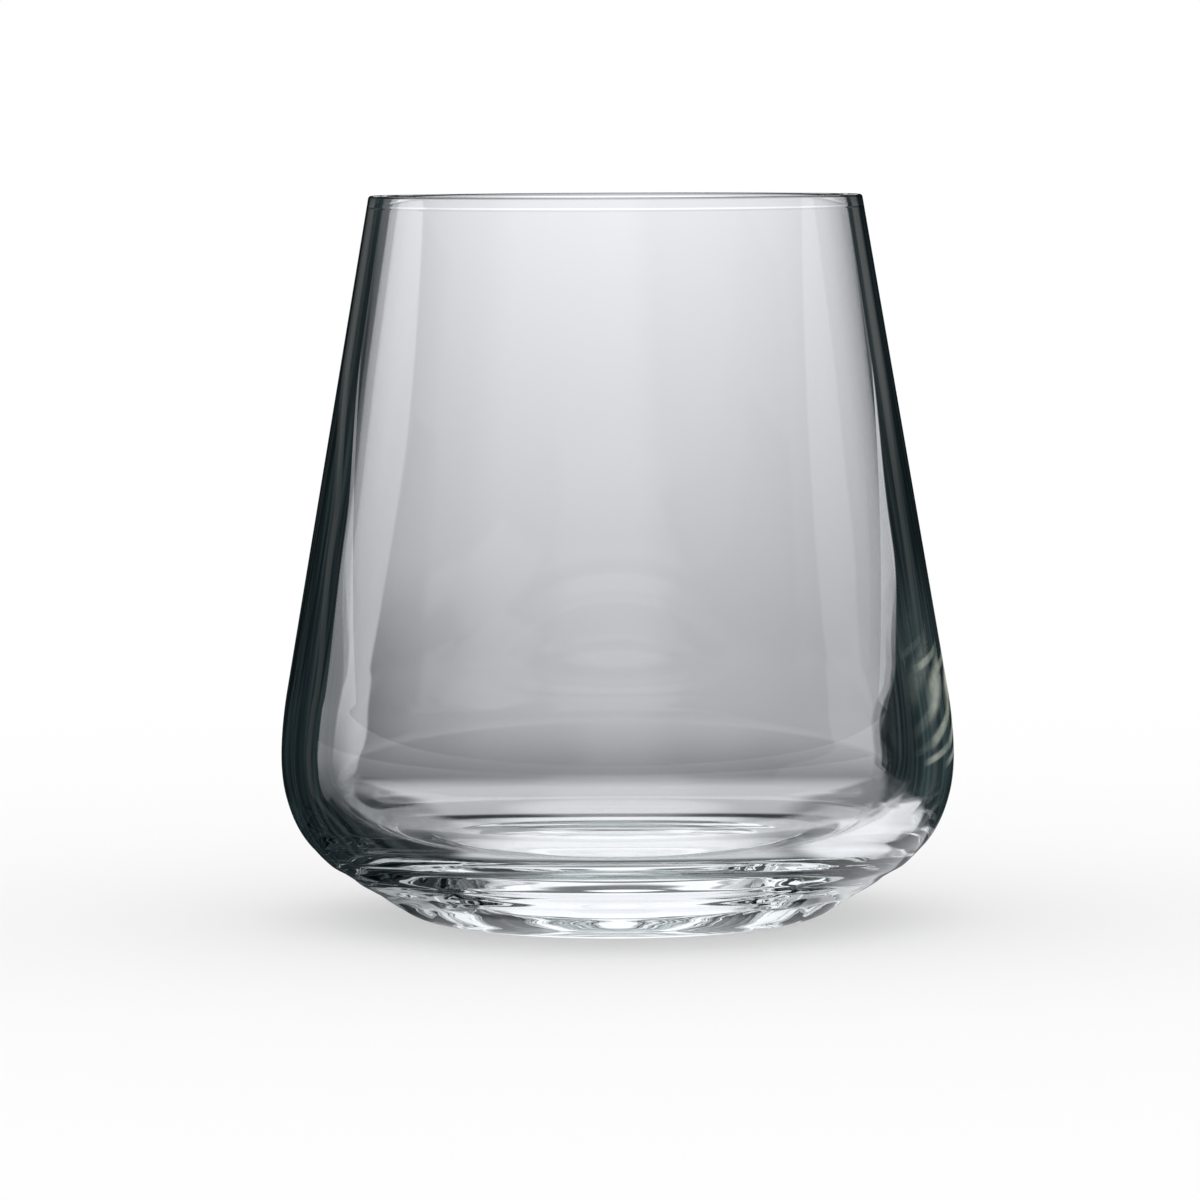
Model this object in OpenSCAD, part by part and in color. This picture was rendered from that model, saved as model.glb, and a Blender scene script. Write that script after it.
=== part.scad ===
// Double old fashioned glass: a tapered tumbler with a low round belly, a flat lip and a thick sham base.
// The origin is the centre of the foot on the table, +Z is up along the axis, and sizes are in millimetres.
// The glass is one casting in real life. It is drawn as the four zones that a glassmaker names.

/* [Body] */
// Height from the table to the top of the lip
height = 101.2; // [96:0.2:108]
// Widest outside diameter, at the belly line
belly_d = 94.4; // [93:0.2:97]
// Height of the belly line above the table
belly_z = 21.5; // [20:0.5:23]
// Radius of the outside curve from the belly line up into the straight side
belly_round = 62.5; // [50:0.5:80]
// Wall thickness at the belly line
belly_wall = 5.5; // [4.5:0.25:6]

/* [Rim] */
// Outside diameter at the lip
rim_d = 69; // [66:0.2:72]
// Thickness of the lip, which is flat on top
rim_wall = 2.1; // [1.8:0.1:2.6]
// Radius of the lip's two edges
lip_round = 0.45; // [0.3:0.05:0.8]
// Height of the lip's band, down from its top
rim_band = 4; // [3:0.5:8]

/* [Base] */
// Height of the middle of the inside floor above the table
floor_z = 6.5; // [6:0.25:8.5]
// Radius of the inside floor, which is dished
floor_round = 120; // [100:5:180]
// Radius of the inside corner between the floor and the wall
inner_corner = 10.5; // [9:0.25:12]
// Radius of the inside curve from that corner up into the straight wall
inner_round = 75; // [60:1:90]
// Radius of the heel, the outside curve below the belly line
heel_round = 17; // [16:0.25:18]
// Outside diameter of the flat ring that the glass stands on
foot_d = 50.8; // [48:0.2:52]
// Radius of the outside edge of the foot
foot_round = 9; // [7:0.25:10]
// Width of the flat ring that the glass stands on
bearing_w = 3.9; // [3:0.1:5]
// Rise of the shallow hollow under the base
punt_rise = 1.5; // [1:0.1:2.5]

/* [Hidden] */
clear_glass = [0.82, 0.89, 0.89, 0.4];
thick_glass = [0.68, 0.79, 0.79, 0.5];
// Greatest turn between two points of an arc, in degrees
arc_turn = 4;
// Sides of each turned solid
turned_sides = 128;
// Distance from the higher wall tangent up to the joint between the heel and the side wall
heel_margin = 1.5;

// The outside line runs from the lip, down the straight side, round the belly and heel, and in under the foot.
lip_c = [rim_d / 2 - lip_round, height - lip_round];
belly_c = [belly_d / 2 - belly_round, belly_z];
heel_c = [belly_d / 2 - heel_round, belly_z];
foot_c = [foot_d / 2, foot_round];
side_a = tangent_angle(lip_c, lip_round, belly_c, belly_round);
chamfer_a = tangent_angle(heel_c, heel_round, foot_c, foot_round);
side_low = on_circle(belly_c, belly_round, side_a);

// The inside line runs from the lip, down the straight wall, round the corner and in across the dished floor.
inner_lip_c = [rim_d / 2 - rim_wall + lip_round, lip_c[1]];
floor_c = [0, floor_z + floor_round];
corner_x = belly_d / 2 - belly_wall - inner_corner;
floor_a = asin(corner_x / (floor_round - inner_corner)) - 90;
corner_c = on_circle(floor_c, floor_round - inner_corner, floor_a);
inner_c = [belly_d / 2 - belly_wall - inner_round, corner_c[1]];
inner_a = tangent_angle(inner_lip_c, -lip_round, inner_c, inner_round);
inner_low = on_circle(inner_c, inner_round, inner_a);

// Where the four zones meet
band_z = height - rim_band;
heel_top = max(side_low[1], inner_low[1]) + heel_margin;
core_r = foot_d / 2 - bearing_w / 2;
core_a = asin(core_r / floor_round) - 90;

// The hollow under the base is part of a large sphere.
punt_r = foot_d / 2 - bearing_w;
punt_round = (punt_r * punt_r + punt_rise * punt_rise) / (2 * punt_rise);

// Point of a circle at an angle
function on_circle(c, r, a) = c + r * [cos(a), sin(a)];

// Points of an arc, both ends included
function arc(c, r, from, to) =
    let (steps = ceil(abs(to - from) / arc_turn))
    [for (i = [0:steps]) on_circle(c, r, from + (to - from) * i / steps)];

// Angle of the normal of the straight line that touches two circles.
// A circle with a negative radius lies on the other side of the line.
function tangent_angle(ca, ra, cb, rb) =
    let (v = cb - ca)
    atan2(v[1], v[0]) + acos((ra - rb) / norm(v));

// Point at a height on the straight line that passes through a point, with a given normal
function at_height(p, a, z) = [p[0] + (p[1] - z) * tan(a), z];

function outside_at(z) = at_height(side_low, side_a, z);
function inside_at(z) = at_height(inner_low, inner_a, z);

// A solid turned about the axis from an outline of radius and height
module turned(outline) {
    rotate_extrude($fn = turned_sides) polygon(outline);
}

// The lip's band, flat on top with both edges rounded
module rim() {
    color(clear_glass)
    turned(concat(
        [outside_at(band_z)],
        arc(lip_c, lip_round, side_a, 90),
        arc(inner_lip_c, lip_round, 90, inner_a + 180),
        [inside_at(band_z)]
    ));
}

// The straight tapered side, thicker towards the belly
module side_wall() {
    color(clear_glass)
    turned([outside_at(heel_top), outside_at(band_z), inside_at(band_z), inside_at(heel_top)]);
}

// The belly, the heel below it and the rounded corner inside
module heel() {
    color(thick_glass)
    turned(concat(
        [outside_at(heel_top)],
        arc(belly_c, belly_round, side_a, 0),
        arc(heel_c, heel_round, -arc_turn, chamfer_a),
        arc(foot_c, foot_round, chamfer_a, -90),
        [[core_r, 0]],
        arc(floor_c, floor_round, core_a, floor_a),
        arc(corner_c, inner_corner, floor_a + arc_turn, 0),
        arc(inner_c, inner_round, arc_turn / 2, inner_a),
        [inside_at(heel_top)]
    ));
}

// The thick base under the dished floor, standing on a flat ring round a shallow hollow
module sham_base() {
    color(thick_glass)
    turned(concat(
        arc(floor_c, floor_round, -90, core_a),
        [[core_r, 0]],
        arc([0, punt_rise - punt_round], punt_round, 90 - asin(punt_r / punt_round), 90)
    ));
}

rim();
side_wall();
heel();
sham_base();
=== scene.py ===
"""Double old fashioned glass: the clear glass, the studio set around it and the camera."""
from __future__ import annotations
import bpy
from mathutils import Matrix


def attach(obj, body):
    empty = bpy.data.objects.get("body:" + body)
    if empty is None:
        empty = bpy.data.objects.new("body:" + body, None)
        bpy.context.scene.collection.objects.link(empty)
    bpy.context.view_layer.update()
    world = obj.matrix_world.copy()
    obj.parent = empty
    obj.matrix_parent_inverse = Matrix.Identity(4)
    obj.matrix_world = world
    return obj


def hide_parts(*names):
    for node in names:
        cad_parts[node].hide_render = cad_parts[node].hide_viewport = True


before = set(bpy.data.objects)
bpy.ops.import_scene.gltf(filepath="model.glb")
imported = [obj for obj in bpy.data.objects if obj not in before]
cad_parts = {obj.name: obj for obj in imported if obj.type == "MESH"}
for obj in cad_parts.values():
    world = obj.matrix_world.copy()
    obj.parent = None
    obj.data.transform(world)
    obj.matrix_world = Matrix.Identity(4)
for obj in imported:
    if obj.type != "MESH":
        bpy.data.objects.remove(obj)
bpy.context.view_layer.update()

import logging
import math
from dataclasses import dataclass, field
from enum import Enum
from typing import Any, Callable, Iterable, Union

import bpy
from mathutils import Matrix

LOG = logging.getLogger("glass")
MM = 0.001
GLASS_BOUNCES = 32
GLOSS_BOUNCES = 16
# Colours of the set's glowing cards, from their darkest painted shade to their brightest painted light
CARD_DARK = (0.003, 0.009, 0.012, 1.0)
CARD_WHITE = (1.0, 1.015, 1.055, 1.0)

Point = tuple[float, float]
Place = tuple[float, float, float]
Heights = tuple[float, float, float]
Colour = tuple[float, float, float, float]
Swell = tuple[float, float, float, float]
Value = Union["Socket", float, tuple]


class Rays(Enum):
    """Which rays see a thing that belongs to the set."""

    VIEW = "the camera, and the soft light that makes the shadow"
    GLASS = "only what the glass lets through or reflects"


class Zone(Enum):
    """The parts of the glass's surface, from the middle of the underside round to the middle of the floor."""

    UNDERSIDE = "hollow under the base"
    FOOT = "flat ring and the edge of the foot"
    CHAMFER = "slanted side above the foot"
    HEEL = "round heel below the belly line"
    SIDE = "outside above the belly line"
    LIP = "flat lip with rounded edges"
    WALL = "inside of the side"
    CORNER = "rounded corner inside"
    FLOOR = "inside floor"


class Socket:
    """An output of a shader node, whose operators add Math nodes."""

    def __init__(self, paint: "Paint", out: bpy.types.NodeSocket | None) -> None:
        """Keeps the node tree and the output."""
        self.paint = paint
        self.out = out

    def sibling(self, name: str) -> "Socket":
        """Another output of the same node."""
        return Socket(self.paint, self.out.node.outputs[name])

    def math(self, operation: str, *others: Value) -> "Socket":
        """A Math node on this output and others."""
        return self.paint.node("ShaderNodeMath", {"operation": operation}, dict(enumerate((self, *others))))

    def __add__(self, other: Value) -> "Socket":
        """self + other."""
        return self.math("ADD", other)

    __radd__ = __add__

    def __mul__(self, other: Value) -> "Socket":
        """self * other."""
        return self.math("MULTIPLY", other)

    __rmul__ = __mul__

    def __sub__(self, other: Value) -> "Socket":
        """self - other."""
        return self.math("SUBTRACT", other)

    def __rsub__(self, other: Value) -> "Socket":
        """other - self."""
        return self.paint.node("ShaderNodeMath", {"operation": "SUBTRACT"}, {0: other, 1: self})

    def __truediv__(self, other: Value) -> "Socket":
        """self / other."""
        return self.math("DIVIDE", other)

    def __rtruediv__(self, other: Value) -> "Socket":
        """other / self."""
        return self.paint.node("ShaderNodeMath", {"operation": "DIVIDE"}, {0: other, 1: self})

    def __abs__(self) -> "Socket":
        """abs(self)."""
        return self.math("ABSOLUTE")

    def at_least(self, other: Value) -> "Socket":
        """The larger of self and other."""
        return self.math("MAXIMUM", other)

    def rise(self, low: Value, high: Value) -> "Socket":
        """Smooth step.

        Args:
            low: Where it is still 0.
            high: Where it has reached 1.

        Returns:
            The step, from 0 to 1.
        """
        return self.paint.node(
            "ShaderNodeMapRange",
            {"interpolation_type": "SMOOTHSTEP"},
            {"Value": self, "From Min": low, "From Max": high},
        )

    def between(self, low: float, high: float, soft: float) -> "Socket":
        """1 between low and high, falling to 0 over a soft edge at each."""
        half = soft / 2
        return self.rise(low - half, low + half) * (1 - self.rise(high - half, high + half))

    def towards(self, level: Value, share: Value) -> "Socket":
        """self, moved towards a level by a share."""
        return self + (level - self) * share


class Paint:
    """A node tree, with the one method that adds a node to it."""

    def __init__(self, tree: bpy.types.NodeTree) -> None:
        """Starts with an empty tree."""
        self.tree = tree
        tree.nodes.clear()

    def node(
        self,
        kind: str,
        settings: dict[str, Any] | None = None,
        sockets: dict[str | int, Value] | None = None,
        out: str | int = 0,
    ) -> Socket:
        """Adds a node.

        Args:
            kind: The node's type.
            settings: Its properties, which are set first.
            sockets: Values or links of its inputs, by name or by number.
            out: The output to return, by name or by number.

        Returns:
            The chosen output.
        """
        node = self.tree.nodes.new(kind)
        for name, value in (settings or {}).items():
            setattr(node, name, value)
        for key, value in (sockets or {}).items():
            if isinstance(value, Socket):
                self.tree.links.new(value.out, node.inputs[key])
            else:
                node.inputs[key].default_value = value
        return Socket(self, node.outputs[out] if node.outputs else None)

    def blend(self, share: Value, first: Value, second: Value) -> Socket:
        """A colour that goes from the first to the second by a share, which may pass 1."""
        # A Mix node takes its two colours in sockets 6 and 7, and gives the colour in output 2.
        settings = {"data_type": "RGBA", "clamp_factor": False}
        return self.node("ShaderNodeMix", settings, {0: share, 6: first, 7: second}, out=2)

    def noise(self, place: Socket, scale: float, detail: float) -> Socket:
        """Smooth noise at a place."""
        return self.node("ShaderNodeTexNoise", sockets={"Vector": place, "Scale": scale, "Detail": detail})

    def place(self) -> tuple[Socket, Socket, Socket]:
        """Where the shaded point is.

        Returns:
            Its x, y and z, in metres.
        """
        where = self.node("ShaderNodeNewGeometry", out="Position")
        x = self.node("ShaderNodeSeparateXYZ", sockets={"Vector": where}, out="X")
        return x, x.sibling("Y"), x.sibling("Z")


def grey(level: float) -> Colour:
    """A grey as a colour socket takes it."""
    return level, level, level, 1.0


def blank_material(name: str) -> tuple[bpy.types.Material, Paint]:
    """A new material.

    Args:
        name: Name of the material.

    Returns:
        The material and its empty node tree.
    """
    material = bpy.data.materials.new(name)
    material.use_nodes = True
    return material, Paint(material.node_tree)


def glowing_card(name: str, paint_level: Callable[[Paint], Socket]) -> bpy.types.Material:
    """A card of the set that shows the level of light painted on it, from dark teal to cool white.

    Args:
        name: Name of the material.
        paint_level: Gives the level at the shaded point.

    Returns:
        The material.
    """
    material, paint = blank_material(name)
    colour = paint.blend(paint_level(paint), CARD_DARK, CARD_WHITE)
    shown = paint.node("ShaderNodeEmission", sockets={"Color": colour})
    paint.node("ShaderNodeOutputMaterial", sockets={"Surface": shown})
    material.cycles.emission_sampling = "NONE"
    return material


def add_mesh(name: str, points: Iterable, faces: Iterable, material: bpy.types.Material) -> bpy.types.Object:
    """Adds a smooth mesh object to the scene.

    Args:
        name: Name of the object.
        points: Vertices, in metres.
        faces: Vertex numbers of each face.
        material: Its material.

    Returns:
        The object.
    """
    mesh = bpy.data.meshes.new(name)
    mesh.from_pydata(list(points), [], list(faces))
    mesh.polygons.foreach_set("use_smooth", [True] * len(mesh.polygons))
    mesh.materials.append(material)
    mesh.validate()
    mesh.update()
    thing = bpy.data.objects.new(name, mesh)
    bpy.context.scene.collection.objects.link(thing)
    return thing


def show_to(thing: bpy.types.Object, rays: Rays) -> bpy.types.Object:
    """Sets which rays see a thing of the set, and marks it as the set's.

    Args:
        thing: The thing.
        rays: The rays that see it.

    Returns:
        The same thing.
    """
    to_view, to_glass = rays is Rays.VIEW, rays is Rays.GLASS
    thing.visible_camera = thing.visible_diffuse = thing.visible_shadow = to_view
    thing.visible_transmission = thing.visible_glossy = to_glass
    thing.visible_volume_scatter = False
    return thing


def level_ring(radius: float, height: float, sides: int) -> list[Place]:
    """Points of a level circle."""
    turns = [2 * math.pi * k / sides for k in range(sides)]
    return [(radius * math.cos(a), radius * math.sin(a), height) for a in turns]


def outward(before: Point, after: Point) -> Point:
    """Normal of a profile, out of the glass, from the points before and after."""
    run = math.dist(before, after)
    return (after[1] - before[1]) / run, (before[0] - after[0]) / run


@dataclass(frozen=True)
class Ripple:
    """Slight waves left in one zone of the surface by the mould and the fire. Sizes are in millimetres."""

    height: float
    length: float
    phase: float = 0.0
    sway: float = 0.0
    turns: int = 1

    def at(self, along: float, turn: float) -> float:
        """Height of the wave at a distance along the profile and an angle round the axis."""
        swing = self.sway * math.sin(self.turns * turn + self.phase)
        return self.height * math.sin(2 * math.pi * along / self.length + self.phase + swing)


@dataclass(frozen=True)
class ClearGlass:
    """Clear soda-lime glass with a trace of iron green, and the faint waves of a fire-polished surface."""

    ior: float = 1.52
    tint: Colour = (0.55, 0.75, 0.72, 1.0)
    tint_density: float = 3.0
    wave_scale: float = 55.0
    wave_detail: float = 1.0
    wave_height: float = 0.004
    wave_strength: float = 0.08
    smudge_scale: float = 90.0
    smudge_detail: float = 3.0
    smudge_from: Point = (0.55, 0.75)
    smudge_roughness: float = 0.012

    def material(self) -> bpy.types.Material:
        """The glass material, with its waves, its handling marks and its tint in depth.

        Returns:
            The material.
        """
        material, paint = blank_material("clear_glass")
        place = paint.node("ShaderNodeTexCoord", out="Object")
        waves = paint.noise(place, self.wave_scale, self.wave_detail)
        bump = paint.node(
            "ShaderNodeBump",
            sockets={"Height": waves, "Strength": self.wave_strength, "Distance": self.wave_height * MM},
        )
        marks = paint.noise(place, self.smudge_scale, self.smudge_detail)
        clear = paint.node(
            "ShaderNodeBsdfPrincipled",
            sockets={
                "Base Color": grey(1.0),
                "Roughness": marks.rise(*self.smudge_from) * self.smudge_roughness,
                "IOR": self.ior,
                "Transmission Weight": 1.0,
                "Normal": bump,
            },
        )
        depth = paint.node(
            "ShaderNodeVolumeAbsorption",
            sockets={"Color": self.tint, "Density": self.tint_density},
        )
        paint.node("ShaderNodeOutputMaterial", sockets={"Surface": clear, "Volume": depth})
        return material


@dataclass(frozen=True)
class Row:
    """One point of the profile, which becomes a ring of the glass. Sizes are in millimetres."""

    point: Point
    normal: Point
    zone: Zone
    along: float
    share: float
    eased: float


@dataclass
class GlassBody:
    """The glass as one closed turned surface.

    Sizes are in millimetres. Those down to the hollow under the base are the same as in the part's source.
    """

    height: float = 101.2
    belly_d: float = 94.4
    belly_z: float = 21.5
    belly_round: float = 62.5
    belly_wall: float = 5.5
    rim_d: float = 69.0
    rim_wall: float = 2.1
    lip_round: float = 0.45
    floor_z: float = 6.5
    floor_round: float = 120.0
    inner_corner: float = 10.5
    inner_round: float = 75.0
    heel_round: float = 17.0
    foot_d: float = 50.8
    foot_round: float = 9.0
    bearing_w: float = 3.9
    punt_rise: float = 1.5
    # A faint groove inside, below the lip
    groove_at: float = 1.3
    groove_depth: float = 0.014
    groove_half: float = 0.14
    groove_zone: float = 3.0
    groove_step: float = 0.07
    # Angle of the heel down to which it has no ripples
    clean_heel: float = 35.0
    # Length over which the bend changes at the belly line
    outer_ease: float = 9.0
    inner_ease: float = 7.0
    segments: int = 256
    arc_turn: float = 1.5
    line_step: float = 0.5
    finish: ClearGlass = field(default_factory=ClearGlass)
    ripples: dict[Zone, tuple[Ripple, ...]] = field(
        default_factory=lambda: {
            Zone.CHAMFER: (
                Ripple(0.09, 5.5, phase=0.5, sway=0.3, turns=1),
                Ripple(0.02, 2.2, sway=0.5, turns=2),
            ),
            Zone.UNDERSIDE: (Ripple(0.012, 4.4, phase=0.6, sway=0.3, turns=1),),
        }
    )

    @property
    def lip_c(self) -> Point:
        """Centre of the circle of the lip's outer edge."""
        return self.rim_d / 2 - self.lip_round, self.height - self.lip_round

    @property
    def inner_lip_c(self) -> Point:
        """Centre of the circle of the lip's inner edge."""
        return self.rim_d / 2 - self.rim_wall + self.lip_round, self.lip_c[1]

    @staticmethod
    def tangent_angle(ca: Point, ra: float, cb: Point, rb: float) -> float:
        """Angle of the normal of the straight line that touches two circles.

        Args:
            ca: Centre of the first circle.
            ra: Its radius, negative if it lies on the other side of the line.
            cb: Centre of the second circle.
            rb: Its radius.

        Returns:
            The angle, in degrees.
        """
        dx, dz = cb[0] - ca[0], cb[1] - ca[1]
        return math.degrees(math.atan2(dz, dx) + math.acos((ra - rb) / math.hypot(dx, dz)))

    def arc(self, centre: Point, radius: float, start: float, end: float) -> list[Point]:
        """Points of an arc, both ends included.

        Args:
            centre: Centre of the arc.
            radius: Its radius.
            start: Angle of its first point, in degrees.
            end: Angle of its last point, in degrees.

        Returns:
            The points.
        """
        turn = abs(end - start)
        by_length = math.ceil(math.radians(turn) * radius / self.line_step)
        steps = max(1, math.ceil(turn / self.arc_turn), by_length)
        turns = [math.radians(start + (end - start) * i / steps) for i in range(steps + 1)]
        return [(centre[0] + radius * math.cos(a), centre[1] + radius * math.sin(a)) for a in turns]

    def line(self, start: Point, end: Point, step: float | None = None) -> list[Point]:
        """Points of a straight line, without its first one, a given step apart at most."""
        steps = max(1, math.ceil(math.dist(start, end) / (step or self.line_step)))
        return [tuple(a + (b - a) * i / steps for a, b in zip(start, end)) for i in range(1, steps + 1)]

    def outside(self) -> list[tuple[Zone, list[Point]]]:
        """The half section's outside, from the middle of the underside up to the lip.

        Returns:
            Each zone with its points, as radius and height.
        """
        belly_c = (self.belly_d / 2 - self.belly_round, self.belly_z)
        heel_c = (self.belly_d / 2 - self.heel_round, self.belly_z)
        foot_c = (self.foot_d / 2, self.foot_round)
        side_a = self.tangent_angle(self.lip_c, self.lip_round, belly_c, self.belly_round)
        chamfer_a = self.tangent_angle(heel_c, self.heel_round, foot_c, self.foot_round)
        punt_r = self.foot_d / 2 - self.bearing_w
        punt_round = (punt_r**2 + self.punt_rise**2) / (2 * self.punt_rise)

        punt = self.line((0.0, self.punt_rise), (punt_r, self.punt_rise))
        dome = [(r, self.punt_rise - punt_round + math.sqrt(punt_round**2 - r * r)) for r, _ in punt]
        foot = self.line(dome[-1], (foot_c[0], 0.0)) + self.arc(foot_c, self.foot_round, -90.0, chamfer_a)[1:]
        low_heel = self.arc(heel_c, self.heel_round, chamfer_a, -self.clean_heel)
        heel = self.arc(heel_c, self.heel_round, -self.clean_heel, 0.0)
        belly = self.arc(belly_c, self.belly_round, 0.0, side_a)
        edge = self.arc(self.lip_c, self.lip_round, side_a, 90.0)
        return [
            (Zone.UNDERSIDE, [(0.0, self.punt_rise)] + dome),
            (Zone.FOOT, foot),
            (Zone.CHAMFER, self.line(foot[-1], low_heel[0]) + low_heel[1:]),
            (Zone.HEEL, heel[1:]),
            (Zone.SIDE, belly[1:] + self.line(belly[-1], edge[0])),
            (Zone.LIP, edge[1:]),
        ]

    def inside(self) -> list[tuple[Zone, list[Point]]]:
        """The half section's inside, from the lip's inner edge down to the middle of the floor.

        Returns:
            Each zone with its points, as radius and height.
        """
        corner_x = self.belly_d / 2 - self.belly_wall - self.inner_corner
        floor_c = (0.0, self.floor_z + self.floor_round)
        reach = self.floor_round - self.inner_corner
        floor_a = math.degrees(math.asin(corner_x / reach)) - 90.0
        corner_c = (corner_x, floor_c[1] + reach * math.sin(math.radians(floor_a)))
        inner_c = (self.belly_d / 2 - self.belly_wall - self.inner_round, corner_c[1])
        inner_a = self.tangent_angle(self.inner_lip_c, -self.lip_round, inner_c, self.inner_round)

        edge = self.arc(self.inner_lip_c, self.lip_round, 90.0, inner_a + 180.0)
        curve = self.arc(inner_c, self.inner_round, inner_a, 0.0)
        share = self.groove_zone / math.dist(edge[-1], curve[0])
        below_groove = tuple(a + (b - a) * share for a, b in zip(edge[-1], curve[0]))
        wall = self.line(edge[-1], below_groove, self.groove_step) + self.line(below_groove, curve[0])
        corner = self.arc(corner_c, self.inner_corner, 0.0, floor_a)
        dish = self.arc(floor_c, self.floor_round, floor_a, -90.0)
        return [
            (Zone.LIP, edge),
            (Zone.WALL, wall + curve[1:]),
            (Zone.CORNER, corner[1:]),
            (Zone.FLOOR, dish[1:-1] + [(0.0, self.floor_z)]),
        ]

    def profile(self) -> list[tuple[Zone, list[Point]]]:
        """The half section, from the middle of the underside round to the middle of the floor.

        Returns:
            Each zone with its points, as radius and height.
        """
        *below, (_, outer_edge) = self.outside()
        (_, inner_edge), *above = self.inside()
        lip = outer_edge + self.line(outer_edge[-1], inner_edge[0]) + inner_edge[1:]
        return below + [(Zone.LIP, lip)] + above

    def eased(self, zone: Zone, along: float, length: float) -> float:
        """How far the surface is moved so that its bend changes gradually at the belly line.

        Args:
            zone: The zone that the point is in.
            along: Its distance along the zone, from the end of the zone before.
            length: Length of the zone.

        Returns:
            The distance along the normal.
        """
        if zone in (Zone.HEEL, Zone.SIDE):
            over, way = self.outer_ease, -1.0
            bend = 1 / self.heel_round - 1 / self.belly_round
            past = length - along if zone is Zone.HEEL else -along
        elif zone in (Zone.WALL, Zone.CORNER):
            over, way = self.inner_ease, 1.0
            bend = 1 / self.inner_corner - 1 / self.inner_round
            past = along if zone is Zone.CORNER else along - length
        else:
            return 0.0
        # The bend grows evenly over the ease, so each half is a cubic. It ends in a shift that fades out.
        half = over / 2
        shift = bend * over**2 / 24
        cubic = bend / (6 * over)
        if past <= -half:
            return 0.0
        if past < 0:
            return way * cubic * (past + half) ** 3
        if past < half:
            return way * (shift - cubic * (half - past) ** 3)
        rest = (past - half) / (length - half)
        return way * shift * (1 - rest * rest * (3 - 2 * rest))

    def offset(self, row: Row, turn: float) -> float:
        """How far the surface lies outside the plain profile. Ripples fade out at both ends of their zone.

        Args:
            row: The point of the profile.
            turn: Angle round the axis.

        Returns:
            The distance along the normal.
        """
        if row.zone is Zone.WALL:
            across = (row.along - self.groove_at) / self.groove_half
            return row.eased - self.groove_depth * math.exp(-(across**2))
        fade = math.sin(math.pi * row.share)
        waves = sum(ripple.at(row.along, turn) for ripple in self.ripples.get(row.zone, ()))
        return row.eased + fade * waves

    def rows(self) -> list[Row]:
        """The profile's points, with their normals and their places in their zones.

        Returns:
            The rows, from the middle of the underside round to the middle of the floor.
        """
        profile = self.profile()
        line = [point for _, points in profile for point in points]
        rows: list[Row] = []
        for zone, points in profile:
            first = math.dist(line[len(rows) - 1], points[0]) if rows else 0.0
            lengths = [0.0]
            for a, b in zip(points, points[1:]):
                lengths.append(lengths[-1] + math.dist(a, b))
            for point, along in zip(points, lengths):
                number = len(rows)
                normal = outward(line[max(number - 1, 0)], line[min(number + 1, len(line) - 1)])
                eased = self.eased(zone, first + along, first + lengths[-1])
                rows.append(Row(point, normal, zone, along, along / lengths[-1], eased))
        return rows

    def ring(self, row: Row) -> list[Place]:
        """Points of the glass round one point of its profile.

        Args:
            row: The point of the profile.

        Returns:
            The points, in metres. There is only one on the axis.
        """
        (r, z), (nr, nz) = row.point, row.normal
        points: list[Place] = []
        for k in range(self.segments if r > 0 else 1):
            turn = 2 * math.pi * k / self.segments
            out = self.offset(row, turn)
            radius = (r + nr * out) * MM
            points.append((radius * math.cos(turn), radius * math.sin(turn), (z + nz * out) * MM))
        return points

    def build(self) -> bpy.types.Object:
        """Turns the profile into the glass, with its ripples, and fits it to the frame.

        Returns:
            The glass.
        """
        verts: list[Place] = []
        rings: list[range] = []
        for row in self.rows():
            ring = self.ring(row)
            rings.append(range(len(verts), len(verts) + len(ring)))
            verts.extend(ring)
        faces: list[tuple[int, ...]] = []
        for low, high in zip(rings, rings[1:]):
            for k in range(self.segments):
                nxt = (k + 1) % self.segments
                if len(low) == 1:
                    faces.append((low[0], high[nxt], high[k]))
                elif len(high) == 1:
                    faces.append((low[k], low[nxt], high[0]))
                else:
                    faces.append((low[k], low[nxt], high[nxt], high[k]))
        glass = add_mesh("glass_body", verts, faces, self.finish.material())
        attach(glass, "root")
        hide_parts("rim", "side_wall", "heel", "sham_base")
        return glass


@dataclass(frozen=True)
class PaleFloor:
    """A pale matt floor that keeps the soft shadow, lightened by painted light where part of it glows white,
    and turns into the white background further out.
    """

    colour: float = 0.97
    white_share: float = 0.45
    white_from: float = 0.06
    white_to: float = 0.4

    def material(self) -> bpy.types.Material:
        """The floor's material.

        Returns:
            The material.
        """
        material, paint = blank_material("pale_floor")
        x, y, _ = paint.place()
        far = (x * x + y * y).math("SQRT").rise(self.white_from, self.white_to)
        # Painted light: near the glass a share of the floor still glows white, which lightens its soft
        # shadow; further out it glows fully white as the background.
        far = self.white_share + (1 - self.white_share) * far
        matt = paint.node("ShaderNodeBsdfDiffuse", sockets={"Color": grey(self.colour)})
        white = paint.node("ShaderNodeEmission", sockets={"Color": grey(1.0)})
        shown = paint.node("ShaderNodeMixShader", sockets={0: far, 1: matt, 2: white})
        paint.node("ShaderNodeOutputMaterial", sockets={"Surface": shown})
        return material


@dataclass(frozen=True)
class Patch:
    """A patch of the table card with a painted level of light of its own: painted shade where it is dark,
    painted light where it is bright. Lengths are in metres.
    """

    across: Point
    along: Point
    level: float
    lean: float = 0.0
    soft: Point = (0.006, 0.008)

    def share(self, x: Socket, y: Socket) -> Socket:
        """1 inside the patch and 0 outside, with soft edges."""
        across = (x - self.lean * y).between(*self.across, self.soft[0])
        return across * y.between(*self.along, self.soft[1])


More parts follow.
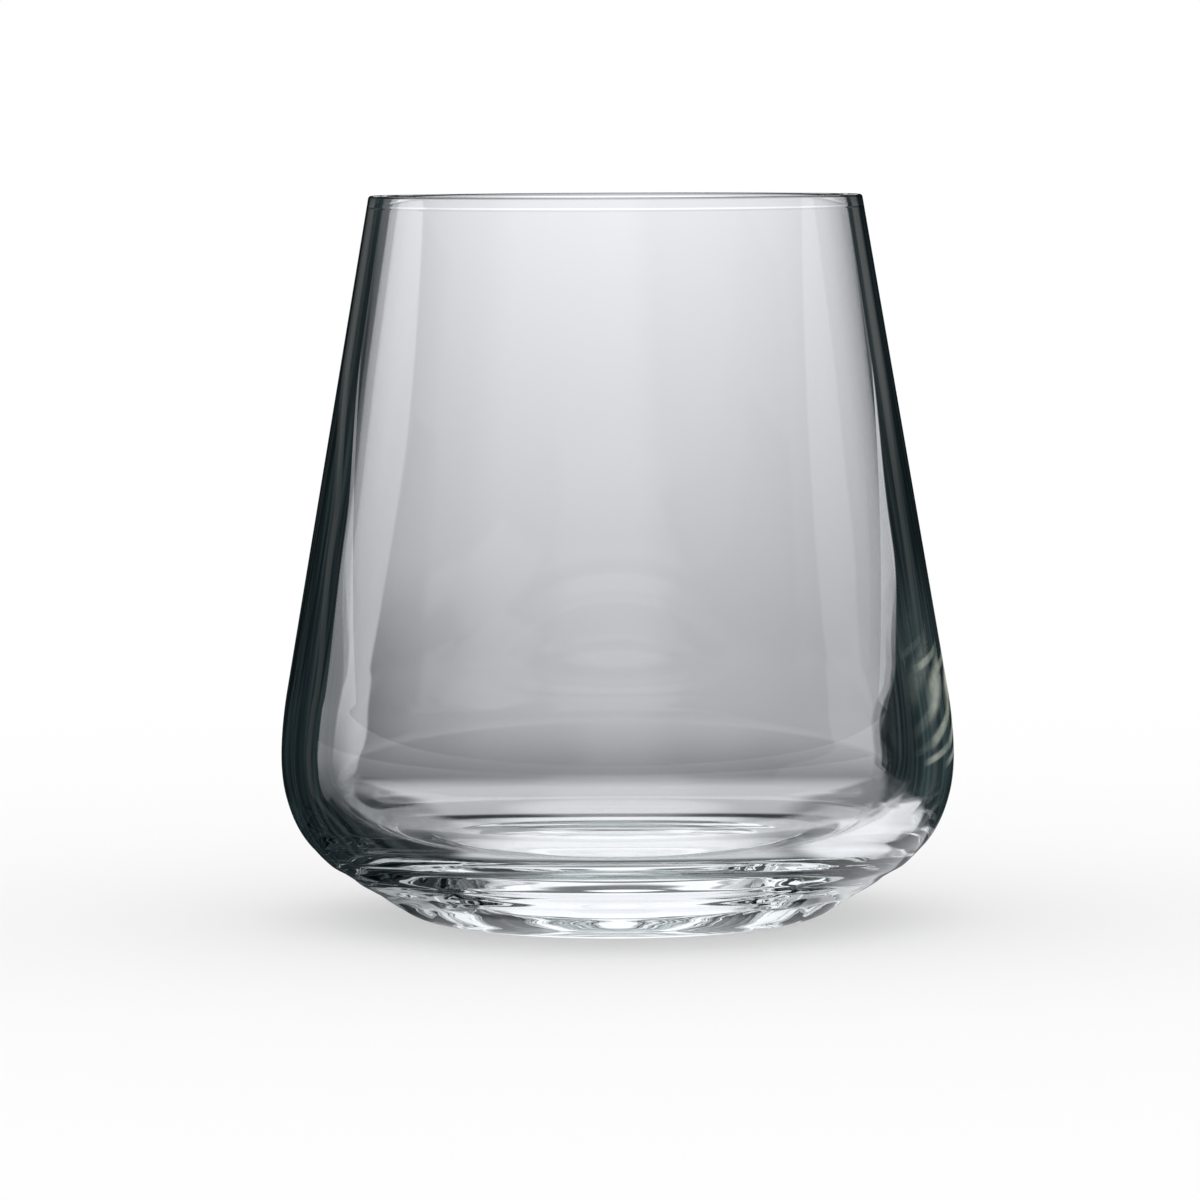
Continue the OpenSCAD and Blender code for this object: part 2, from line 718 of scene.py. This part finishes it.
@dataclass(frozen=True)
class TableCard:
    """The table that shows through the glass, as a card that glows with painted light and shade: a grey
    runner that gets lighter with distance.

    Lengths are in metres. Pairs for the runner's edges are left and right.
    """

    # Painted light under the base, and a painted shadow: the dark ring where the foot meets the table
    under_level: float = 1.05
    under_side: Point = (0.012, 0.028)
    under_fall: float = 0.7
    contact_shadow_in: Point = (0.0305, 0.0325)
    contact_shadow_out: Point = (0.0345, 0.0375)
    contact_shadow_level: float = 0.01
    # Close to the glass: painted light in the middle, painted shade to the left and right
    near_level: float = 0.6
    near_half: float = 0.037
    near_spread: float = -0.48
    near_bend: float = 8.4
    near_soft: float = 0.004
    beside_level: Point = (0.085, 0.24)
    beside_far: float = 0.13
    beside_far_over: Point = (0.05, 0.062)
    beside_out: float = 0.1
    beside_out_over: Point = (0.043, 0.052)
    right_pull: float = 0.0025
    # Further out: painted light that climbs with the distance, darker in a dip nearer the glass
    ring: Point = (0.083, 0.113)
    dip: float = 0.14
    dip_over: Point = (0.11, 0.29)
    middle: float = 0.35
    middle_level: float = 0.5575
    climb: float = 0.15
    far_climb: float = 0.1
    # The runner's edges
    edge_half: Point = (0.0655, 0.04)
    edge_spread: Point = (0.095, 0.1)
    edge_pull: Point = (0.007, 0.02)
    pull_over: Point = (0.11, 0.2)
    edge_swell: Point = (0.0045, 0.0)
    swell_over: Swell = (0.2, 0.3, 0.4, 0.75)
    edge_soft: Point = (0.98, 1.02)
    fall_near: Point = (0.68, 0.14)
    fall_far: Point = (0.19, 0.12)
    fall_over: Point = (0.22, 0.46)
    fall_power: float = 1.5
    outside_level: Point = (1.0, 0.98)
    # Painted shade in a dark patch beside the glass to the left and one behind it to the right; painted light
    # in two bright patches to the right of the foot
    patches: tuple[Patch, ...] = (
        Patch((-0.2, -0.0265), (-0.06, 0.02), 0.045),
        Patch((0.0315, 0.066), (-0.03, 0.0115), 0.88),
        Patch((0.0495, 0.071), (0.006, 0.03), 0.88),
        Patch((0.043, 0.2), (0.033, 0.12), 0.05, lean=0.25),
    )

    def runner(self, x: Socket, y: Socket, distance: Socket) -> Socket:
        """Share of light across the runner, which falls off to each edge and is plain outside.

        Args:
            x: Place across the runner.
            y: Place along it, from the glass.
            distance: Distance from the axis.

        Returns:
            The share.
        """
        share: Value = 1.0
        for side, way in enumerate((-1.0, 1.0)):
            pull = self.edge_pull[side] * (1 - y.rise(*self.pull_over))
            swell = self.edge_swell[side] * y.rise(*self.swell_over[:2]) * (1 - y.rise(*self.swell_over[2:]))
            reach = x * way / (self.edge_half[side] + self.edge_spread[side] * y - pull + swell)
            near, far = self.fall_near[side], self.fall_far[side]
            fall = near + (far - near) * distance.rise(*self.fall_over)
            inside = 1 - fall * reach.at_least(0.0).math("POWER", self.fall_power)
            share = share * inside.towards(self.outside_level[side], reach.rise(*self.edge_soft))
        return share

    def far_level(self, x: Socket, y: Socket, distance: Socket) -> Socket:
        """Level away from the glass, which climbs with the distance.

        Args:
            x: Place across the runner.
            y: Place along it, from the glass.
            distance: Distance from the axis.

        Returns:
            The level.
        """
        steps = (distance / self.middle).math("LOGARITHM", math.e)
        level = self.middle_level + self.climb * steps + self.far_climb * steps.at_least(0.0)
        level = level - self.dip * (1 - distance.rise(*self.dip_over))
        return level * self.runner(x, y, distance)

    def near_glass(self, x: Socket, y: Socket) -> Socket:
        """Level close to the glass, which is darker to the left and right.

        Args:
            x: Place across the runner.
            y: Place along it, from the glass.

        Returns:
            The level.
        """
        wide = self.near_half + (self.near_spread + self.near_bend * y) * y
        left = (0 - x - wide).rise(-self.near_soft, self.near_soft)
        right = (x - wide + self.right_pull).rise(-self.near_soft, self.near_soft)
        dim = self.beside_level[0] + self.beside_far * y.rise(*self.beside_far_over)
        dim = dim + self.beside_out * (0 - x).rise(*self.beside_out_over)
        level = self.near_level + (dim - self.near_level) * left
        return level.towards(self.beside_level[1], right)

    def paint(self, paint: Paint) -> Socket:
        """Level of light at the shaded point.

        Args:
            paint: The card's node tree.

        Returns:
            The level.
        """
        x, along, _ = paint.place()
        y = abs(along)
        distance = (x * x + y * y).math("SQRT")
        level = self.near_glass(x, y).towards(self.far_level(x, y, distance), distance.rise(*self.ring))
        under = self.under_level * (1 - self.under_fall * abs(x).rise(*self.under_side))
        under = under.towards(self.contact_shadow_level, distance.rise(*self.contact_shadow_in))
        level = under.towards(level, distance.rise(*self.contact_shadow_out))
        for patch in self.patches:
            level = level.towards(patch.level, patch.share(x, along))
        return level


@dataclass
class Studio:
    """The set: a pale floor for the camera, and cards, walls and a roof light that only the glass sees.

    Lengths are in metres. Angles round the axis are in degrees from straight behind the glass.
    """

    floor_radius: float = 20.0
    radius: float = 2.0
    room_height: float = 2.0
    sides: int = 180
    card_drop: float = 0.0002
    # Walls: lit behind the glass, dark to the sides, and dim behind the camera
    wall_level: float = 1.25
    side_level: float = 0.03
    side_from: Point = (22.0, 45.0)
    wall_gap: Point = (0.5, 0.9)
    gap_soft: float = 0.15
    back_level: float = 0.4
    back_from: Point = (115.0, 135.0)
    right_dim: float = 0.85
    right_from: Point = (0.2, 0.8)
    # Roof, with a soft light in the middle
    roof_right_from: Point = (0.6, 1.2)
    roof_level: float = 0.15
    roof_light: float = 1.3
    roof_half: Point = (0.7, 0.9)
    roof_soft: float = 0.5
    card: TableCard = field(default_factory=TableCard)

    def paint_wall(self, paint: Paint) -> Socket:
        """Level of the walls.

        Args:
            paint: The walls' node tree.

        Returns:
            The level.
        """
        x, y, z = paint.place()
        turn = abs(x.math("ARCTAN2", y) * math.degrees(1.0))
        lit = self.wall_level * self.card.runner(x, abs(y), (x * x + y * y).math("SQRT"))
        lit = lit.towards(self.side_level, z.between(*self.wall_gap, self.gap_soft))
        back = self.back_level * (1 - self.right_dim * x.rise(*self.right_from))
        sides = lit.towards(self.side_level, turn.rise(*self.side_from))
        return sides.towards(back, turn.rise(*self.back_from))

    def paint_roof(self, paint: Paint) -> Socket:
        """Level of the roof and the soft light in it.

        Args:
            paint: The roof's node tree.

        Returns:
            The level.
        """
        x, y, _ = paint.place()
        wide, deep = self.roof_half
        lit = x.between(-wide, wide, self.roof_soft) * y.between(-deep, deep, self.roof_soft)
        plain = self.roof_level * (1 - self.right_dim * x.rise(*self.roof_right_from))
        return plain.towards(self.roof_light, lit)

    def disc(self, name: str, radius: float, height: float, material: bpy.types.Material) -> bpy.types.Object:
        """A round level card."""
        return add_mesh(name, level_ring(radius, height, self.sides), [tuple(range(self.sides))], material)

    def walls(self) -> bpy.types.Object:
        """The ring of walls round the table card.

        Returns:
            The walls.
        """
        n = self.sides
        around = [(k, (k + 1) % n, n + (k + 1) % n, n + k) for k in range(n)]
        points = level_ring(self.radius, -self.card_drop, n) + level_ring(self.radius, self.room_height, n)
        return add_mesh("wall_card", points, around, glowing_card("wall_card", self.paint_wall))

    def world(self) -> None:
        """The white world, which lights the floor."""
        world = bpy.data.worlds.new("white")
        bpy.context.scene.world = world
        world.use_nodes = True
        paint = Paint(world.node_tree)
        light = paint.node("ShaderNodeBackground", sockets={"Color": grey(1.0), "Strength": 1.0})
        paint.node("ShaderNodeOutputWorld", sockets={"Surface": light})

    def build(self) -> None:
        """Builds the floor, the cards and the white world."""
        show_to(self.disc("floor", self.floor_radius, 0.0, PaleFloor().material()), Rays.VIEW)
        table = glowing_card("table_card", self.card.paint)
        show_to(self.disc("table_card", self.radius, -self.card_drop, table), Rays.GLASS)
        roof = glowing_card("roof_card", self.paint_roof)
        show_to(self.disc("roof_card", self.radius, self.room_height, roof), Rays.GLASS)
        show_to(self.walls(), Rays.GLASS)
        self.world()


@dataclass(frozen=True)
class Wisp:
    """A pale stroke of painted reflection across the painted edge shade, which rises to the back. Lengths are
    in metres.
    """

    height: float
    slope: float
    half: float
    start: Point
    share: float
    soft: Point = (0.4, 1.4)

    def at(self, y: Socket, z: Socket) -> Socket:
        """Share of the stroke at a place on the sleeve."""
        off = abs(z - self.height - self.slope * y) / self.half
        return (1 - off.rise(*self.soft)) * y.rise(*self.start) * self.share


@dataclass
class EdgeShadeSleeve:
    """A sleeve close round the glass, seen only through it, which paints shade along the glass's edges:
    painted dark teal where light leaves the glass at a slant, clear where it leaves square.

    The gap and the bottom are in millimetres, places on the sleeve in metres and slants in degrees from
    the normal. Sets of three are low, middle and top.
    """

    gap: float = 0.6
    bottom: float = 3.0
    sides: int = 192
    low_to_mid: Point = (0.033, 0.053)
    mid_to_top: Point = (0.056, 0.08)
    soft: float = 0.5
    # Left edge: painted shade, with a grey band of painted half shade inside it
    shut: Heights = (61.8, 62.8, 67.3)
    grey_from: Heights = (56.6, 61.8, 63.5)
    grey_share: Heights = (0.65, 0.6, 0.79)
    dim_from: Heights = (57.2, 59.6, 60.3)
    dim_share: float = 0.3
    low_ramp: Point = (49.5, 57.5)
    low_ramp_share: float = 0.63
    low_ramp_over: Point = (0.018, 0.036)
    # Right edge: painted shade, with its swelling low down and a paler band of painted half shade inside it
    right_over: Point = (0.0, 0.02)
    right_shut: Heights = (58.0, 63.9, 67.0)
    right_dim_from: Heights = (50.0, 52.0, 53.0)
    right_dim_share: float = 0.1
    right_ramp: Point = (54.0, 66.0)
    right_ramp_share: float = 0.2
    right_bulge: float = 7.3
    bulge_over: Swell = (0.0145, 0.0185, 0.0235, 0.0345)
    bulge_lift: float = 0.0028
    front_over: Point = (-0.004, 0.004)
    fringe: float = 1.5
    fringe_share: float = 0.45
    fringe_to: Point = (0.034, 0.044)
    # No painted shade below, so that the base and the right of the heel stay bright
    base_open_across: Point = (-0.025, -0.012)
    base_open_to: Point = (0.012, 0.015)
    heel_open_across: Point = (0.026, 0.03)
    heel_open_to: Point = (0.0155, 0.0165)
    right_open_to: float = 68.5
    # Colour of the painted shade: dark teal in upright streaks, and one lighter stripe of painted highlight
    dark: Colour = (0.005, 0.009, 0.011, 1.0)
    teal: Colour = (0.034, 0.05, 0.054, 1.0)
    streak_scale: Place = (420.0, 5.0, 22.0)
    streak_detail: float = 2.0
    streak_tone: Point = (0.4, 0.72)
    stripe: Colour = (0.1, 0.108, 0.108, 1.0)
    stripe_at: Heights = (65.5, 68.5, 75.0)
    right_stripe_at: Heights = (69.0, 70.5, 71.8)
    stripe_half: Heights = (1.0, 1.4, 2.2)
    stripe_share: Heights = (0.25, 0.45, 1.0)
    stripe_slant: float = 70.0
    stripe_soft: Point = (0.6, 1.4)
    # Painted lighter teal and pale strokes of painted reflection low on the right
    right_dark: Colour = (0.016, 0.026, 0.029, 1.0)
    right_teal: Colour = (0.055, 0.085, 0.088, 1.0)
    low_right_across: Point = (0.03, 0.035)
    low_right_up: Point = (0.012, 0.046)
    low_right_soft: float = 0.012
    low_right_slant: Point = (59.0, 65.0)
    pale: Colour = (0.62, 0.67, 0.58, 1.0)
    wisp_slant: Point = (60.0, 66.0)
    wisp_end: Point = (0.008, 0.016)
    grain_lean: Point = (0.15, 0.35)
    grain_lean_over: Point = (0.026, 0.038)
    grain_scale: Point = (260.0, 45.0)
    grain_detail: float = 3.0
    grain_tone: Point = (0.36, 0.6)
    grain_least: float = 0.5
    wisps: tuple[Wisp, ...] = (
        Wisp(0.0365, 0.1, 0.0006, (-0.012, -0.006), 0.5),
        Wisp(0.0325, 0.35, 0.0026, (-0.009, -0.002), 0.85),
        Wisp(0.0262, 0.2, 0.0009, (-0.009, -0.003), 0.9),
        Wisp(0.0231, 0.1, 0.0006, (-0.012, -0.006), 0.6),
    )

    @staticmethod
    def facing(angle: float) -> float:
        """What a Layer Weight node gives at an angle from the normal, in degrees."""
        return 1 - math.cos(math.radians(angle))

    def by_height(self, values: Heights, z: Socket) -> Socket:
        """A value that goes from low to middle to top."""
        low, mid, top = values
        return low + (mid - low) * z.rise(*self.low_to_mid) + (top - mid) * z.rise(*self.mid_to_top)

    def edge(self, angles: Heights, z: Socket) -> Socket:
        """What a Layer Weight node gives at an angle that changes with the height."""
        low, mid, top = (self.facing(angle) for angle in angles)
        return self.by_height((low, mid, top), z)

    def past(self, slant: Socket, edge: Value) -> Socket:
        """1 where the light is more slanted than an edge, over the soft width."""
        soft = self.facing(self.shut[0] + self.soft) - self.facing(self.shut[0])
        return (slant - edge).rise(-soft, soft)

    def ramp(self, slant: Socket, angles: Point) -> Socket:
        """Smooth step between two slants."""
        return slant.rise(self.facing(angles[0]), self.facing(angles[1]))

    def right_edge(self, y: Socket, z: Socket) -> Socket:
        """Where the painted shade begins on the right, with the swelling low down.

        Args:
            y: Place before or behind the axis, in metres.
            z: Height, in metres.

        Returns:
            The edge, as a Layer Weight node gives it.
        """
        bulge = self.facing(self.right_shut[0]) - self.facing(self.right_shut[0] - self.right_bulge)
        up = z - self.bulge_lift * (1 - y.rise(*self.front_over))
        bulge = bulge * up.rise(*self.bulge_over[:2]) * (1 - up.rise(*self.bulge_over[2:]))
        return self.edge(self.right_shut, z) - bulge

    def left_half_shade(self, slant: Socket, z: Socket) -> Socket:
        """Share of painted half shade in the grey band inside the left edge.

        Args:
            slant: What the Layer Weight node gives.
            z: Height, in metres.

        Returns:
            The share.
        """
        band = self.past(slant, self.edge(self.grey_from, z)) * self.by_height(self.grey_share, z)
        band = band.at_least(self.past(slant, self.edge(self.dim_from, z)) * self.dim_share)
        low = self.ramp(slant, self.low_ramp) * (1 - z.rise(*self.low_ramp_over)) * self.low_ramp_share
        return band.at_least(low)

    def right_half_shade(self, slant: Socket, z: Socket, right_edge: Socket) -> Socket:
        """Share of painted half shade in the pale grey band inside the right edge.

        Args:
            slant: What the Layer Weight node gives.
            z: Height, in metres.
            right_edge: Where the louvres shut on the right.

        Returns:
            The share.
        """
        band = self.past(slant, self.edge(self.right_dim_from, z)) * self.right_dim_share
        band = band + self.ramp(slant, self.right_ramp) * self.right_ramp_share
        ahead = self.facing(self.right_shut[0]) - self.facing(self.right_shut[0] - self.fringe)
        fringe = self.past(slant, right_edge - ahead) * self.fringe_share * (1 - z.rise(*self.fringe_to))
        return band.at_least(fringe)

    def edge_shade_share(self, slant: Socket, x: Socket, y: Socket, z: Socket) -> Socket:
        """Share of painted shade, from the slant of the light and the place on the sleeve.

        Args:
            slant: What the Layer Weight node gives.
            x: Place to the left or right of the axis, in metres.
            y: Place before or behind the axis, in metres.
            z: Height, in metres.

        Returns:
            The share that shows the painted shade instead of the light behind it.
        """
        right = x.rise(*self.right_over)
        right_edge = self.right_edge(y, z)
        black = self.past(slant, self.edge(self.shut, z).towards(right_edge, right))
        half = self.left_half_shade(slant, z).towards(self.right_half_shade(slant, z, right_edge), right)
        open_base = x.rise(*self.base_open_across) * (1 - z.rise(*self.base_open_to))
        square = 1 - self.past(slant, self.facing(self.right_open_to))
        open_heel = x.rise(*self.heel_open_across) * (1 - z.rise(*self.heel_open_to)) * square
        return black.at_least(half) * (1 - open_base.at_least(open_heel))

    def streaked(self, paint: Paint, low_right: Socket, x: Socket, y: Socket, z: Socket) -> Socket:
        """Painted shade in dark teal with upright streaks, lighter low on the right.

        Args:
            paint: The sleeve's node tree.
            low_right: Share of the lighter teal.
            x: Place to the left or right of the axis, in metres.
            y: Place before or behind the axis, in metres.
            z: Height, in metres.

        Returns:
            The colour.
        """
        round_scale, side_scale, up_scale = self.streak_scale
        upright = paint.node(
            "ShaderNodeCombineXYZ",
            sockets={"X": y * round_scale, "Y": x.math("SIGN") * side_scale, "Z": z * up_scale},
        )
        streaks = paint.noise(upright, 1.0, self.streak_detail)
        dark = paint.blend(low_right, self.dark, self.right_dark)
        teal = paint.blend(low_right, self.teal, self.right_teal)
        return paint.blend(streaks.rise(*self.streak_tone), dark, teal)

    def stripe_at_slant(self, slant: Socket, x: Socket, z: Socket) -> Socket:
        """Share of the lighter stripe of painted highlight.

        Args:
            slant: What the Layer Weight node gives.
            x: Place to the left or right of the axis, in metres.
            z: Height, in metres.

        Returns:
            The share.
        """
        left, right = self.edge(self.stripe_at, z), self.edge(self.right_stripe_at, z)
        middle = left.towards(right, x.rise(*self.right_over))
        per_radian = math.sin(math.radians(self.stripe_slant))
        low, mid, top = (per_radian * math.radians(half) for half in self.stripe_half)
        half = self.by_height((low, mid, top), z)
        inside = 1 - (abs(slant - middle) / half).rise(*self.stripe_soft)
        return inside * self.by_height(self.stripe_share, z)

    def strokes(self, paint: Paint, y: Socket, z: Socket) -> Socket:
        """Share of the pale strokes of painted reflection, with a slanted grain.

        Args:
            paint: The sleeve's node tree.
            y: Place before or behind the axis, in metres.
            z: Height, in metres.

        Returns:
            The share.
        """
        lean, more_lean = self.grain_lean
        rising = z + y * (lean + more_lean * z.rise(*self.grain_lean_over))
        slanted = paint.node(
            "ShaderNodeCombineXYZ",
            sockets={"X": rising * self.grain_scale[0], "Y": y * self.grain_scale[1]},
        )
        grain = paint.noise(slanted, 1.0, self.grain_detail).rise(*self.grain_tone)
        first, *others = self.wisps
        stroke = first.at(y, z)
        for wisp in others:
            stroke = stroke.at_least(wisp.at(y, z))
        return stroke * (self.grain_least + (1 - self.grain_least) * grain)

    def colour(self, paint: Paint, slant: Socket, x: Socket, y: Socket, z: Socket) -> Socket:
        """Painted shade in dark teal with upright streaks, with a lighter stripe of painted highlight and
        painted pale reflections low on the right.

        Args:
            paint: The sleeve's node tree.
            slant: What the Layer Weight node gives.
            x: Place to the left or right of the axis, in metres.
            y: Place before or behind the axis, in metres.
            z: Height, in metres.

        Returns:
            The colour.
        """
        right = x.rise(*self.low_right_across)
        low_right = right * z.between(*self.low_right_up, self.low_right_soft)
        low_right = low_right * self.ramp(slant, self.low_right_slant)
        tone = self.streaked(paint, low_right, x, y, z)
        tone = paint.blend(self.stripe_at_slant(slant, x, z), tone, self.stripe)
        where = right * self.ramp(slant, self.wisp_slant) * (1 - y.rise(*self.wisp_end))
        return paint.blend(self.strokes(paint, y, z) * where, tone, self.pale)

    def material(self) -> bpy.types.Material:
        """Painted shade where the light comes at a slant, and clear where it comes square.

        Returns:
            The material.
        """
        material, paint = blank_material("painted_edge_shade")
        x, y, z = paint.place()
        clear = paint.node("ShaderNodeBsdfTransparent")
        # At a blend of 0.5, Facing is one less the cosine of the slant.
        slant = paint.node("ShaderNodeLayerWeight", sockets={"Blend": 0.5}, out="Facing")
        # Painted shade along the glass's edges, glowing dark teal in place of the light behind, with painted
        # highlights and reflections in it
        dark = paint.node("ShaderNodeEmission", sockets={"Color": self.colour(paint, slant, x, y, z)})
        shut = self.edge_shade_share(slant, x, y, z)
        shown = paint.node("ShaderNodeMixShader", sockets={0: shut, 1: clear, 2: dark})
        paint.node("ShaderNodeOutputMaterial", sockets={"Surface": shown})
        material.cycles.emission_sampling = "NONE"
        return material

    def build(self, glass: GlassBody) -> bpy.types.Object:
        """Builds the sleeve of painted edge shade round a glass.

        Args:
            glass: The glass that it follows.

        Returns:
            The sleeve.
        """
        zones = (Zone.FOOT, Zone.CHAMFER, Zone.HEEL, Zone.SIDE, Zone.LIP)
        line = [p for zone, points in glass.profile() if zone in zones for p in points]
        line = [p for p in line if p[0] >= glass.lip_c[0]]
        rings: list[list[Place]] = []
        for before, (r, z), after in zip(line, line[1:], line[2:]):
            out = outward(before, after)
            if z >= self.bottom:
                radius, height = (r + out[0] * self.gap) * MM, (z + out[1] * self.gap) * MM
                rings.append(level_ring(radius, height, self.sides))
        n = self.sides
        faces = [
            (i * n + k, i * n + (k + 1) % n, (i + 1) * n + (k + 1) % n, (i + 1) * n + k)
            for i in range(len(rings) - 1)
            for k in range(n)
        ]
        points = [point for ring in rings for point in ring]
        return show_to(add_mesh("edge_shade_sleeve", points, faces, self.material()), Rays.GLASS)


@dataclass
class PhotoCamera:
    """The camera, at the photograph's angle. Lengths are in metres, and the image is 1200 pixels square."""

    image_side: int = 1200
    focal_pixels: float = 6422.0
    sensor: float = 36.0
    clip: Point = (0.01, 100.0)
    distance: float = 0.9
    elevation: float = 3.82
    aim_height: float = 0.05
    aim_pixel: Point = (617.0, 560.9)
    roll: float = 0.25

    def build(self) -> bpy.types.Object:
        """Adds the camera and makes it the scene's own.

        Returns:
            The camera.
        """
        data = bpy.data.cameras.new("camera")
        data.sensor_width = self.sensor
        data.lens = self.focal_pixels / self.image_side * self.sensor
        data.clip_start, data.clip_end = self.clip
        camera = bpy.data.objects.new("camera", data)
        rise, middle = math.radians(self.elevation), self.image_side / 2
        camera.location = (
            0.0,
            -self.distance * math.cos(rise),
            self.aim_height + self.distance * math.sin(rise),
        )
        pitch = rise + math.atan((middle - self.aim_pixel[1]) / self.focal_pixels)
        yaw = math.atan((self.aim_pixel[0] - middle) / self.focal_pixels)
        turn = (
            Matrix.Rotation(yaw, 4, "Z")
            @ Matrix.Rotation(math.pi / 2 - pitch, 4, "X")
            @ Matrix.Rotation(-math.radians(self.roll), 4, "Z")
        )
        camera.rotation_euler = turn.to_euler()
        bpy.context.scene.collection.objects.link(camera)
        bpy.context.scene.camera = camera
        return camera


def main() -> None:
    """Builds the camera, the glass and the set in order."""
    logging.basicConfig(level=logging.INFO, format="%(message)s")
    scene = bpy.context.scene
    scene.view_settings.view_transform = "Standard"
    scene.cycles.max_bounces = scene.cycles.transmission_bounces = GLASS_BOUNCES
    scene.cycles.glossy_bounces = GLOSS_BOUNCES
    LOG.info("camera: %s", PhotoCamera().build().name)
    body = GlassBody()
    glass = body.build()
    LOG.info("piece: %s, %d faces", glass.name, len(glass.data.polygons))
    Studio().build()
    # The sleeve paints the shade along the glass's edges
    LOG.info("set: %s", EdgeShadeSleeve().build(body).name)


if __name__ == "__main__":
    main()
